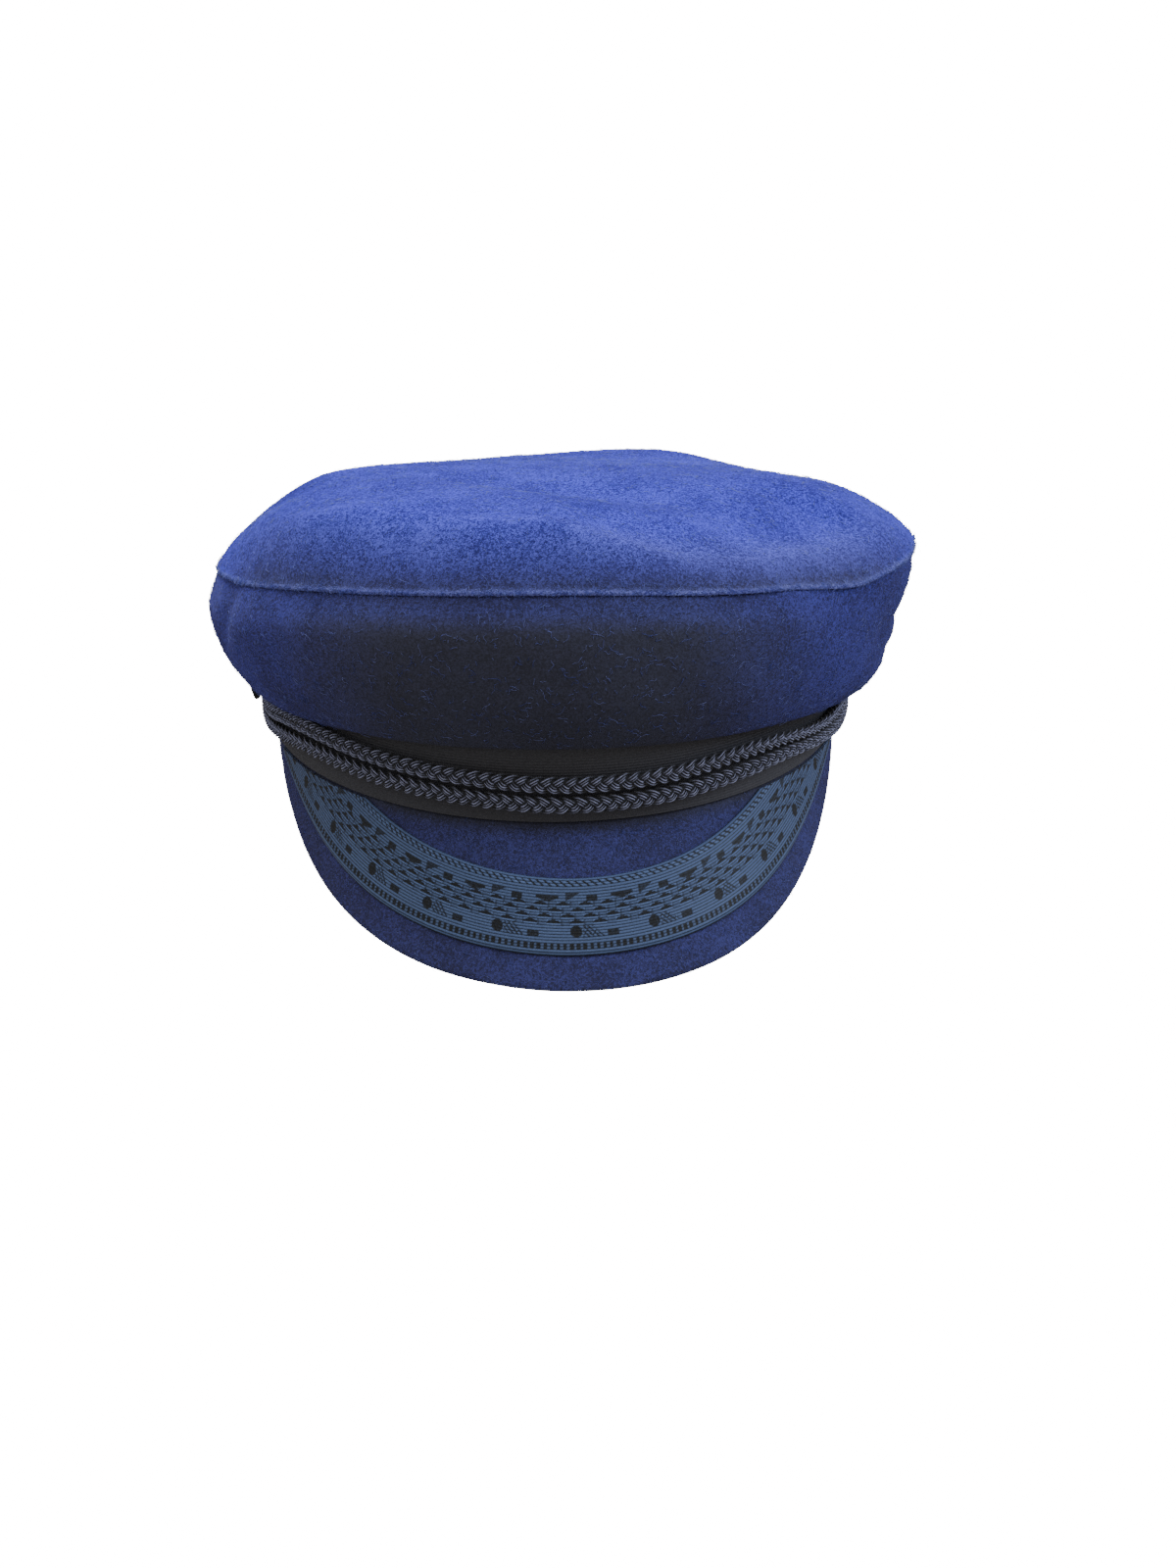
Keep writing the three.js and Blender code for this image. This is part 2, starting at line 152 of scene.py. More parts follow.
# The sag of the crown's seam near the wearer's left temple: angle, reach in degrees, depth.
SAG_ANGLE, SAG_REACH, SAG_DEPTH = 50, 9, 2.0

# The crown's two panels: their columns round the head, about how long a degree is along the side panel, how
# far the cloth turns out under its fold, and how lit its colour is painted where nobody sees it, 0 being
# painted shade.
CROWN_COLUMNS, SIDE_DEGREE, FOLD_TURN, HIDDEN_PAINTED_LIGHTING = 400, 1.7, 1.4, 0.1

# How much the slack and the puckers lift the two panels, and how far from the seam they come in or fade.
TOP_SLACK, TOP_SLACK_FROM = 0.35, 20
TOP_PUCKER, TOP_PUCKER_FADE, SIDE_PUCKER, SIDE_PUCKER_FADE = 0.32, 8.0, 0.30, 7.0

# The seam's bead on the top panel, as height, place and reach, and its groove in the side panel.
BEAD, BEAD_AT, BEAD_REACH, GROOVE, GROOVE_REACH = 0.5, 0.6, 0.7, 0.35, 1.0

# The band's ribbon, whose ribs wave in and out by RIBBON_WAVE every RIBBON_RIB.
RIBBON_THICK, RIBBON_LOW, RIBBON_HIGH, RIBBON_END = 0.9, 0.1, 26.0, 88.0
RIBBON_WAVE, RIBBON_RIB = 0.1, 0.8

# The peak's plan and slope. A little to the wearer's left of the middle it is fuller and lies flatter.
PEAK_END, PEAK_REACH, PEAK_END_REACH = 80.0, 46.2, 9.4
PEAK_BOW, PEAK_TAPER, PEAK_CORNER, PEAK_CORNER_POWER = 1.89, 1.73, 0.55, 24
PEAK_SLOPE, PEAK_END_SLOPE, PEAK_THICK = 54.0, 95.0, 2.6
PEAK_FULL_AT, PEAK_FULL_WIDE, PEAK_FULL, PEAK_FLAT = 20.0, 20.0, 1.5, 2.5

# Ripples of the peak's upper face: waves for each radian round it, radians by which they lean out, height.
PEAK_RIPPLES = [(19, 3, 0.12), (41, 5, 0.10)]

# The peak's ribbon. The real ribs lie about 0.6 mm apart, which is too fine to show, so they are drawn
# 0.8 mm apart, and each has four rows of points.
TRIM_MARGIN, TRIM_WIDTH, TRIM_THICK, TRIM_END, TRIM_SEAM = 9.6, 21.3, 0.8, 68.0, 1.0
TRIM_RIBS, RIB_ROWS = 26, 4
RIB = TRIM_WIDTH / TRIM_RIBS

# The woven rows, counted in ribs from the ribbon's outer edge, the length of a repeat, and how light
# plain yarn is, from 0 to 1.
CELLS, FIGURES, CHAIN, HALF_LEAVES, ROPE = (2, 4), (6, 10), (10, 18), (18, 21), (23, 25)
REPEAT, PLAIN = 21.0, 0.74

# The cord's two runs, how they part round the buttons, and how far off the band's oval they lie.
CORD_RADIUS, CORD_APART, CORD_LOOP, CORD_SPREAD, CORD_OFF = 2.45, 5.8, 3.9, 9.0, 4.0

# How far the runs are pinched together before the wearer's left temple, and towards their ends.
CORD_PINCH, CORD_END_PINCH = 1.7, 1.0

# Where the cord is drawn in to the band: angle, reach in degrees, depth.
CORD_DRAWN_IN = [(74, 12, 0.6), (-76, 12, 1.1)]

# The plait: its pitch, how far its three strands swing across, how much less where it is pinched, how far
# they go in and out and how much more the middle yarn does, and its points for each pitch.
PLAIT_PITCH, PLAIT_SWING, PLAIT_PINCH, PLAIT_LIFT, PLAIT_CROWN, PLAIT_POINTS = 10.2, 1.45, 0.6, 0.65, 0.2, 17

# The real cord's yarns are about a third as thick, which is too fine to show, so each strand has only three.
YARNS_ACROSS, YARN_RADIUS, YARN_SIDES = np.array([-0.7, 0.0, 0.7]), 0.29, 6

# How worn each of the nine yarns is, so that they stand apart, and the core that fills the plait, painted
# dark as the shade between them.
YARN_TONES = np.array([0.75, 1.0, 0.5, 1.0, 0.6, 0.9, 0.6, 1.0, 0.8])
CORE_ACROSS, CORE_OUT, CORE_SIDES, CORE_PAINTED_SHADE = 1.6, 0.5, 8, -0.3

# The buttons: their place, then the head's radius, its rim's, the height of its dome and the shank's radius.
BUTTON_ANGLE, BUTTON_UP = 94.0, 4.0
BUTTON_RADIUS, BUTTON_RIM, BUTTON_DOME, SHANK = 6.0, 0.75, 1.35, 1.2

# The loose fibres' thickness is drawn about four times the real one, so that they show.
FIBRE_RADIUS, FIBRE_POINTS, FIBRE_SIDES = 0.055, 5, 3

# The line between the cord's two runs: angle, height above the band's lower edge.
CORD_LINE = np.array([
    [-180, 4.0], [-94, 4.0], [-80, 4.4], [-70, 7.2], [-60, 10.6], [-50, 12.1], [-31, 11.1], [-13, 9.9],
    [0, 9.0], [18, 9.5], [33, 11.0], [43, 10.8], [54, 8.6], [66, 6.6], [80, 5.2], [94, 4.0], [180, 4.0],
])


def around(rows, column, angle):
    """A table's column at angles: a closed cubic through its rows, sloped at each row as the line past
    it."""
    keys, values = rows[:-1, 0], rows[:-1, column]
    turned = (angle - keys[0]) % 360 + keys[0]
    j = np.searchsorted(keys, turned, side="right")
    keys = np.concatenate([[keys[-1] - 360], keys, keys[:2] + 360])
    values = np.concatenate([[values[-1]], values, values[:2]])
    step = keys[j + 1] - keys[j]
    t = (turned - keys[j]) / step
    leave = (values[j + 1] - values[j - 1]) / (keys[j + 1] - keys[j - 1]) * step
    arrive = (values[j + 2] - values[j]) / (keys[j + 2] - keys[j]) * step
    return ((2 * t**3 - 3 * t**2 + 1) * values[j] + (t**3 - 2 * t**2 + t) * leave
            + (3 * t**2 - 2 * t**3) * values[j + 1] + (t**3 - t**2) * arrive)


def outward(angle):
    """The level direction straight out of the band's oval: its gradient there, made one long."""
    a = np.radians(angle)
    way = np.stack([np.sin(a) * HALF_LENGTH, -np.cos(a) * HALF_WIDTH, 0 * a], -1)
    return way / np.linalg.norm(way, axis=-1, keepdims=True)


def at(angle, out, up):
    """A point out from the band's oval and up from its lower edge: the oval's point plus outward times
    out."""
    angle, out, up = np.broadcast_arrays(*(np.asarray(v, float) for v in (angle, out, up)))
    a = np.radians(angle)
    foot = np.stack([np.sin(a) * HALF_WIDTH, -np.cos(a) * HALF_LENGTH, up], -1)
    return foot + outward(angle) * out[..., None]


def place(points):
    """From the head's frame to the row's, in metres: what would be under the floor is flattened on it, then
    the frame is tipped back by the tilt and shifted."""
    x, y, z = np.moveaxis(points, -1, 0)
    height = np.minimum(BAND_LIFT - y * np.sin(TILT) + z * np.cos(TILT), 0)
    y, z = y + height * np.sin(TILT), z - height * np.cos(TILT)
    placed = [x - ORIGIN_X, y * np.cos(TILT) + z * np.sin(TILT) - ORIGIN_Y,
              BAND_LIFT - y * np.sin(TILT) + z * np.cos(TILT)]
    return np.stack(placed, -1) / 1000


def normals(grid, closed=True):
    """The unit normal at each point of a grid: the cross product of the steps along its two directions. Its
    columns close on themselves where closed."""
    if closed:
        across = np.roll(grid, -1, 1) - np.roll(grid, 1, 1)
    else:
        across = np.gradient(grid, axis=1)
    cross = np.cross(across, np.gradient(grid, axis=0))
    return cross / np.maximum(np.linalg.norm(cross, axis=-1, keepdims=True), 1e-9)


def bumps(u, v, rows):
    """Soft hollows and ridges: the sum of rise times a bell over each row's turned, stretched distance."""
    total = np.zeros(np.broadcast(u, v).shape)
    for x, y, along, across, turn, rise in rows:
        t = np.radians(turn)
        a = ((u - x) * np.cos(t) + (v - y) * np.sin(t)) / along
        b = ((v - y) * np.cos(t) - (u - x) * np.sin(t)) / across
        total += rise * np.exp(-a**2 - b**2)
    return total


def waves(u, v, rows):
    """Ripples: the sum of plane waves, each a height times the sine of the distance along its direction."""
    total = np.zeros(np.broadcast(u, v).shape)
    for length, direction, phase, height in rows:
        d = np.radians(direction)
        total += height * np.sin(2 * np.pi * (u * np.cos(d) + v * np.sin(d)) / length + np.radians(phase))
    return total


def run_length(grid):
    """The distance along each column from its first row: the running sum of its steps."""
    steps = np.linalg.norm(np.diff(grid, axis=0), axis=-1)
    return np.concatenate([np.zeros((1, grid.shape[1])), np.cumsum(steps, 0)])


def bell(distance, width):
    """A soft bump of height 1 at no distance: e to minus the square of the distance over the width."""
    return np.exp(-(distance / width) ** 2)


def step(value, low, high):
    """A smooth step from 0 at low to 1 at high: three times the square of the way less twice its cube."""
    t = np.clip((value - low) / (high - low), 0, 1)
    return t * t * (3 - 2 * t)


def smooth_curve(knots, t):
    """The smooth curve through a row of knots, at t counted from the second knot: the usual cubic of the
    four knots round each place."""
    i = np.minimum(t.astype(int), len(knots) - 4)
    u = (t - i)[(...,) + (None,) * (knots.ndim - 1)]
    a, b, c, d = (knots[i + k] for k in range(4))
    return 0.5 * (2 * b + (c - a) * u + (2 * a - 5 * b + 4 * c - d) * u**2 + (3 * b - a - 3 * c + d) * u**3)


def put(name, points, faces, material, nodes=(), attributes=None):
    """Makes a piece from points in the row's frame and faces, with faces turned out and shaded smooth.
    Attributes are numbers at the points."""
    points = np.asarray(points).reshape(-1, 3)
    quads = np.concatenate([np.asarray(f)[:, [0, 1, 2, -1]] for f in faces])
    a, b, c, d = (points[quads[:, k]] for k in range(4))
    volume = (a * np.cross(b, c)).sum() + (a * np.cross(c, d)).sum()
    corners = [np.asarray(f) if volume > 0 else np.asarray(f)[:, ::-1] for f in faces]
    sizes = np.concatenate([np.full(len(f), f.shape[1]) for f in corners])
    mesh = bpy.data.meshes.new(name)
    mesh.vertices.add(len(points))
    mesh.vertices.foreach_set("co", points.astype(np.float32).ravel())
    mesh.loops.add(int(sizes.sum()))
    mesh.loops.foreach_set("vertex_index", np.concatenate([f.ravel() for f in corners]).astype(np.int32))
    mesh.polygons.add(len(sizes))
    mesh.polygons.foreach_set("loop_start", np.concatenate([[0], np.cumsum(sizes)[:-1]]).astype(np.int32))
    mesh.update(calc_edges=True)
    mesh.shade_smooth()
    for key, values in (attributes or {}).items():
        layer = mesh.attributes.new(key, "FLOAT", "POINT")
        layer.data.foreach_set("value", np.asarray(values, np.float32).ravel())
    mesh.materials.append(material)
    piece = bpy.data.objects.new(name, mesh)
    bpy.context.scene.collection.objects.link(piece)
    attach(piece, "root")
    if nodes:
        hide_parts(*nodes)
    return piece


def grid_faces(rows, columns, close_rows, close_columns):
    """The four-sided faces of a grid of points, numbered row by row, that may close on itself either way."""
    index = np.arange(rows * columns).reshape(rows, columns)
    if close_rows:
        index = np.concatenate([index, index[:1]])
    if close_columns:
        index = np.concatenate([index, index[:, :1]], 1)
    return np.stack([index[:-1, :-1], index[:-1, 1:], index[1:, 1:], index[1:, :-1]], -1).reshape(-1, 4)


def carried_piece(name, grid, whole, material, nodes, attributes=None):
    """A piece whose rows are a section's loop and whose columns are carried round the head: either the whole
    way, or from one end to the other, closed with one flat face at each end."""
    rows, columns = grid.shape[:2]
    index = np.arange(rows * columns).reshape(rows, columns)
    faces = [grid_faces(rows, columns, True, whole)]
    if not whole:
        faces += [index[:, -1][None], index[::-1, 0][None]]
    put(name, place(grid), faces, material, nodes, attributes)


def linear(code, alpha=1.0):
    """An sRGB hex colour as linear numbers."""
    s = np.array([int(code[i:i + 2], 16) for i in (1, 3, 5)]) / 255
    return (*np.where(s <= 0.04045, s / 12.92, ((s + 0.055) / 1.055) ** 2.4), alpha)


def grain(size):
    """The scale of a noise whose grains have a size in millimetres: how many of them fit in a metre."""
    return 1000 / size


def add(tree, kind, inputs=None, **settings):
    """Adds a node with its settings. Each input gets a value, or a link from the socket that is given, or
    from the first output that the node that is given has in use."""
    made = tree.nodes.new(kind)
    for name, value in settings.items():
        setattr(made, name, value)
    for name, value in (inputs or {}).items():
        if isinstance(value, bpy.types.Node):
            value = next(socket for socket in value.outputs if socket.enabled)
        if isinstance(value, bpy.types.NodeSocket):
            tree.links.new(value, made.inputs[name])
        else:
            made.inputs[name].default_value = value
    return made


def finished(name, finish):
    """A material with the shader inputs that a finish gives for its tree and for the place on the piece."""
    material = bpy.data.materials.new(name)
    material.use_nodes = True
    tree = material.node_tree
    tree.nodes.clear()
    spot = add(tree, "ShaderNodeTexCoord").outputs["Object"]
    shader = add(tree, "ShaderNodeBsdfPrincipled", finish(tree, spot))
    add(tree, "ShaderNodeOutputMaterial", {"Surface": shader})
    return material


def wool_melton(tree, spot):
    """Napped wool melton: matted fibres that hide the weave. The eye sees fine mottling, 0.6 and 2 mm
    across, soft blotches some 20 mm wide, and a pale sheen at grazing angles. The mesh gives the painted
    lighting: at 0 the cloth is painted a dull greyish navy as painted shade, and at 1 a full blue as lit.
    It also gives a painted highlight in paler blue, which makes the seam a thin light line."""
    painted_lighting = add(tree, "ShaderNodeAttribute", attribute_name="painted_lighting").outputs["Fac"]
    painted_highlight = add(tree, "ShaderNodeAttribute", attribute_name="painted_highlight").outputs["Fac"]
    felt = add(tree, "ShaderNodeTexNoise",
               {"Vector": spot, "Scale": grain(0.588), "Detail": 3.0, "Roughness": 0.7, "Distortion": 1.2})
    tuft = add(tree, "ShaderNodeTexNoise",
               {"Vector": spot, "Scale": grain(1.923), "Detail": 2.0, "Roughness": 0.5, "Distortion": 0.6})
    blotch = add(tree, "ShaderNodeTexNoise",
                 {"Vector": spot, "Scale": grain(20.83), "Detail": 3.0, "Roughness": 0.55})
    mottle = add(tree, "ShaderNodeMath", {0: felt, 1: 0.76}, operation="MULTIPLY")
    for layer, weight in ((tuft, 0.10), (blotch, 0.14)):
        mottle = add(tree, "ShaderNodeMath", {0: layer, 1: weight, 2: mottle}, operation="MULTIPLY_ADD")
    share = add(tree, "ShaderNodeMapRange", {"Value": mottle, "From Min": 0.459, "From Max": 0.551})
    # The colour pairs are the wool painted in shade, the wool as lit, and a paler painted highlight.
    flat, lit_blue, pale = (
        add(tree, "ShaderNodeMix",
            {0: share, 6: linear(dark), 7: linear(light)}, data_type="RGBA")
        for dark, light in (("#424453", "#50546e"), ("#18187e", "#5c62ff"), ("#4c50b0", "#9aa2ff")))
    # Painted shade and painted highlight: the mesh's values mix these pairs.
    cloth = add(tree, "ShaderNodeMix", {0: painted_lighting, 6: flat, 7: lit_blue}, data_type="RGBA")
    colour = add(tree, "ShaderNodeMix", {0: painted_highlight, 6: cloth, 7: pale}, data_type="RGBA")
    relief = add(tree, "ShaderNodeBump", {"Height": mottle, "Strength": 0.6, "Distance": 0.0006})
    return {
        "Base Color": colour, "Roughness": 0.95, "Specular IOR Level": 0.12, "IOR": 1.5,
        "Sheen Weight": 0.1, "Sheen Roughness": 0.55, "Sheen Tint": linear("#e6e6ff"),
        "Normal": relief,
    }


def wool_fibre(tree, spot):
    """Loose wool fibres and lint that lie on the cloth's face: matt, a little paler than the cloth, and not
    all of one lightness."""
    patch = add(tree, "ShaderNodeTexNoise", {"Vector": spot, "Scale": grain(4.167), "Detail": 1.0})
    share = add(tree, "ShaderNodeMapRange", {"Value": patch, "From Min": 0.35, "From Max": 0.65})
    colour = add(tree, "ShaderNodeMix",
                 {0: share, 6: linear("#5c66b8"), 7: linear("#8c96da")}, data_type="RGBA")
    return {
        "Base Color": colour, "Roughness": 0.9, "Specular IOR Level": 0.1,
    }


def grosgrain_ribbon(tree, spot):
    """Black ribbed rayon ribbon: filament yarn with a dull lustre, and ribs 0.8 mm apart in the mesh."""
    yarn = add(tree, "ShaderNodeTexNoise",
               {"Vector": spot, "Scale": grain(0.6667), "Detail": 2.0, "Roughness": 0.6})
    colour = add(tree, "ShaderNodeMix",
                 {0: yarn, 6: linear("#3c3e46"), 7: linear("#5c5e68")}, data_type="RGBA")
    relief = add(tree, "ShaderNodeBump", {"Height": yarn, "Strength": 0.3, "Distance": 0.0001})
    return {
        "Base Color": colour, "Roughness": 0.62, "Specular IOR Level": 0.35,
        "Sheen Weight": 0.1, "Normal": relief,
    }


def jacquard_ribbon(tree, spot):
    """Woven patterned ribbon: blue-grey filament over a black warp. The mesh gives the lightness of each
    rib, and fine yarn noise and a soft gloss are added here."""
    weave = add(tree, "ShaderNodeAttribute", attribute_name="weave").outputs["Fac"]
    yarn = add(tree, "ShaderNodeTexNoise",
               {"Vector": spot, "Scale": grain(0.4545), "Detail": 2.0, "Roughness": 0.6})
    shade = add(tree, "ShaderNodeMath", {0: yarn, 1: 0.5, 2: weave}, operation="MULTIPLY_ADD")
    share = add(tree, "ShaderNodeMapRange", {"Value": shade, "From Min": 0.25, "From Max": 1.2})
    colour = add(tree, "ShaderNodeMix",
                 {0: share, 6: linear("#0e141a"), 7: linear("#6c88c0")}, data_type="RGBA")
    relief = add(tree, "ShaderNodeBump", {"Height": yarn, "Strength": 0.35, "Distance": 0.0001})
    return {
        "Base Color": colour, "Roughness": 0.55, "Specular IOR Level": 0.4,
        "Sheen Weight": 0.15, "Normal": relief,
    }


def plaited_yarn(tree, spot):
    """Charcoal cord yarn: spun and a little hairy. The mesh makes it paler where it stands out and faces out,
    partly wear and partly a painted highlight, and darker in the core, as painted shade."""
    hair = add(tree, "ShaderNodeTexNoise",
               {"Vector": spot, "Scale": grain(0.625), "Detail": 3.0, "Roughness": 0.65})
    wear_and_highlight = add(tree, "ShaderNodeAttribute", attribute_name="wear_and_highlight").outputs["Fac"]
    shade = add(tree, "ShaderNodeMath", {0: hair, 1: 0.8, 2: wear_and_highlight}, operation="MULTIPLY_ADD")
    share = add(tree, "ShaderNodeMapRange", {"Value": shade, "From Min": 0.5, "From Max": 1.25})
    colour = add(tree, "ShaderNodeMix",
                 {0: share, 6: linear("#303238"), 7: linear("#bcc4ee")}, data_type="RGBA")
    relief = add(tree, "ShaderNodeBump", {"Height": hair, "Strength": 0.5, "Distance": 0.00012})
    return {
        "Base Color": colour, "Roughness": 0.8, "Specular IOR Level": 0.25,
        "Sheen Weight": 0.3, "Sheen Roughness": 0.4, "Normal": relief,
    }


def moulded_button(tree, spot):
    """Moulded polyester button: near black, satin, with a faint mottle and fine rubbing."""
    mottle = add(tree, "ShaderNodeTexNoise", {"Vector": spot, "Scale": grain(3.333), "Detail": 3.0})
    rub = add(tree, "ShaderNodeTexNoise", {"Vector": spot, "Scale": grain(0.5556), "Detail": 2.0})
    colour = add(tree, "ShaderNodeMix",
                 {0: mottle, 6: linear("#0d0d10"), 7: linear("#26262b")}, data_type="RGBA")
    gloss = add(tree, "ShaderNodeMapRange", {"Value": rub, "To Min": 0.28, "To Max": 0.5})
    return {
        "Base Color": colour, "Roughness": gloss, "IOR": 1.54,
    }


WOOL = finished("wool_melton", wool_melton)
FIBRE = finished("loose_wool_fibre", wool_fibre)
RIBBON = finished("black_grosgrain", grosgrain_ribbon)
JACQUARD = finished("blue_grey_jacquard", jacquard_ribbon)
YARN = finished("charcoal_cord_yarn", plaited_yarn)
BUTTON = finished("black_polyester", moulded_button)


def pucker(angle):
    """The seam's small puckers, about 4 to 9 mm apart: the sum of sines round the head, each pushed to
    and fro by a slower sine."""
    a = np.radians(angle)
    return sum(share * np.sin(count * a + phase + sway * np.sin(slow * a))
               for count, phase, slow, sway, share in PUCKERS)


def seam_up(angle):
    """The height of the crown's seam: its table, less a bell for its sag."""
    return around(SIDE, 6, angle) - SAG_DEPTH * bell(angle - SAG_ANGLE, SAG_REACH)


def side_profile(angle):
    """The side panel's outer face, as out and up, for places from 0 at the fold to 3 at the seam: the
    knots of a smooth curve through the fold, a low point, the belly and the seam, that leaves from the
    band's top edge."""
    fold, belly = (np.stack([around(SIDE, k, angle), around(SIDE, k + 1, angle)], -1) for k in (1, 3))
    seam = np.stack([around(SIDE, 5, angle), seam_up(angle) - GAP / 2], -1)
    low = np.stack([0.62 * belly[:, 0] + 0.38 * fold[:, 0] + 1.5, (fold[:, 1] + belly[:, 1]) / 2 - 2], -1)
    hem = np.broadcast_to([0, BAND_HEIGHT], fold.shape)
    return np.stack([hem, fold, low, belly, seam, 2 * seam - belly])


def side_rise(angle, places, left):
    """How far the side panel's face stands off its plain shape, with left the distance to the seam: each
    crease is its height times a bell round and up the panel, then come the slack, the puckers, which fade
    away from the seam, and a groove at the seam. It all fades out at the fold."""
    u, v = angle[None], places[:, None]
    rise = np.zeros(left.shape)
    for crease_at, crease_place, wide, high, lean, height in SIDE_DENTS:
        gone = (u - crease_at + 180) % 360 - 180
        across = (gone - lean * (v - crease_place)) / wide
        rise += height * np.exp(-across ** 2 - ((v - crease_place) / high) ** 2)
    rise += waves(u * SIDE_DEGREE, left, SLACK) * np.minimum(v, 1) * (0.5 + 0.9 * (np.abs(u) > 90))
    rise += pucker(u) * SIDE_PUCKER * np.exp(-left / SIDE_PUCKER_FADE)
    rise -= GROOVE * bell(left, GROOVE_REACH)
    return rise * np.minimum(v / 0.25, 1)


def crown_side():
    """The side panel: a loop of the outer face from under the fold up to the seam, and back down inside one
    cloth deep. The outer face is lifted along its normal by its rise, and the inner face gives way where the
    outer one is pushed in. Its colour has painted shade, deeper in front and more so away from the seam, and
    a painted highlight along the seam."""
    angle = np.linspace(-180, 180, CROWN_COLUMNS, endpoint=False)
    places = np.linspace(0, 3, 76)
    outer = smooth_curve(side_profile(angle), places)
    base = at(angle[None], outer[..., 0], outer[..., 1])
    face = normals(base)
    face *= np.sign((face * outward(angle)[None]).sum(-1, keepdims=True).mean())
    left = run_length(base[::-1])[::-1]
    rise = side_rise(angle, places, left)
    skin = base + face * rise[..., None]

    near = RIBBON_THICK + 3 * GAP
    low = BAND_HEIGHT + GAP
    heading = outer[1] - outer[0]
    heading = heading / np.linalg.norm(heading, axis=-1, keepdims=True)
    hem = np.broadcast_to([near, low], (1, len(angle), 2))
    start = np.stack([np.full(len(angle), near), outer[0][:, 1] + CLOTH], -1)
    bend = outer[0] - FOLD_TURN * heading
    t = np.linspace(0, 1, 9)[:-1, None, None]
    lip = (1 - t) ** 2 * start + 2 * t * (1 - t) * bend + t**2 * outer[0]
    under = np.concatenate([hem, lip])

    facing = np.stack([(face * outward(angle)[None]).sum(-1), face[..., 2]], -1)
    flat = np.concatenate([under, outer + facing * np.minimum(rise, 0)[..., None]])
    along = np.gradient(flat, axis=0)
    along /= np.maximum(np.linalg.norm(along, axis=-1, keepdims=True), 1e-9)
    inner = flat + CLOTH * np.stack([-along[..., 1], along[..., 0]], -1)
    inner[0] = [near + CLOTH, low + CLOTH]
    inner[-1] = outer[-1] - [CLOTH, 0]
    inner = np.concatenate([inner[-1:], inner[-3:len(under) - 1:-4], inner[:1]])
    edge = np.broadcast_to(np.array([[[-BAND_WALL, low + CLOTH]], [[-BAND_WALL, low]]]), (2, len(angle), 2))
    behind = np.concatenate([inner, edge])
    grid = np.concatenate([at(angle[None], under[..., 0], under[..., 1]), skin,
                           at(angle[None], behind[..., 0], behind[..., 1])])

    # Painted shade: at the sides and the back the cloth is painted half lit. In front it is painted darker,
    # and fully in painted shade from 11 mm under the seam on.
    front = 1 - step(np.maximum(angle + 9, -angle)[None], 22, 60)
    painted_lighting = 0.5 - front * (0.26 + 0.24 * step(left, 3, 11))
    unseen = ((len(under), len(behind)), (0, 0))
    painted_lighting = np.pad(painted_lighting, unseen, constant_values=HIDDEN_PAINTED_LIGHTING)
    # A painted highlight along the top edge, at the seam.
    painted_highlight = np.pad(0.2 * bell(left, 0.4), unseen)
    carried_piece("wool_side_panel", grid, True, WOOL, ["crown_side"],
                  {"painted_lighting": painted_lighting, "painted_highlight": painted_highlight})
    return skin[4:-4]


def slack_top(x, y):
    """The top panel's height away from its rim: a slope that falls to the back and the sides, with its
    hollows and ridges."""
    back = y + 60
    return 82.5 - 0.1 * back - 0.0007 * back**2 - 0.0008 * x**2 + bumps(x, y, TOP_DENTS)


def on_top(angle, share):
    """The top panel's outer face: from the seam the rim rises to the slack height as one minus the rest
    of the way to a power, itself to a power, while the place goes straight in to the middle. In front it
    rises by its own height first, as one minus a power of the rest of that depth, and a smooth step over
    the length of its run on takes it to the slack height."""
    rim = at(angle, around(SIDE, 5, angle), seam_up(angle) + GAP / 2)
    x = rim[..., 0] * (1 - share)
    y = rim[..., 1] * (1 - share) - 3 * share
    gap = slack_top(x, y) - rim[..., 2]
    rolled = np.minimum(share / around(ROLL, 1, angle), 1)
    plain = gap * (1 - (1 - rolled) ** 2.2) ** 0.62
    holds, stand, deep, bend, ramp = (around(FRONT, k, angle) for k in range(1, 6))
    gone = np.hypot(x - rim[..., 0], y - rim[..., 1])
    up = 1 - (1 - np.minimum(gone / deep, 1)) ** bend
    t = np.minimum(gone / ramp, 1)
    front = stand * up + (gap - stand) * t * t * (3 - 2 * t)
    return np.stack([x, y, rim[..., 2] + plain + (front - plain) * np.clip(holds, 0, 1)], -1)


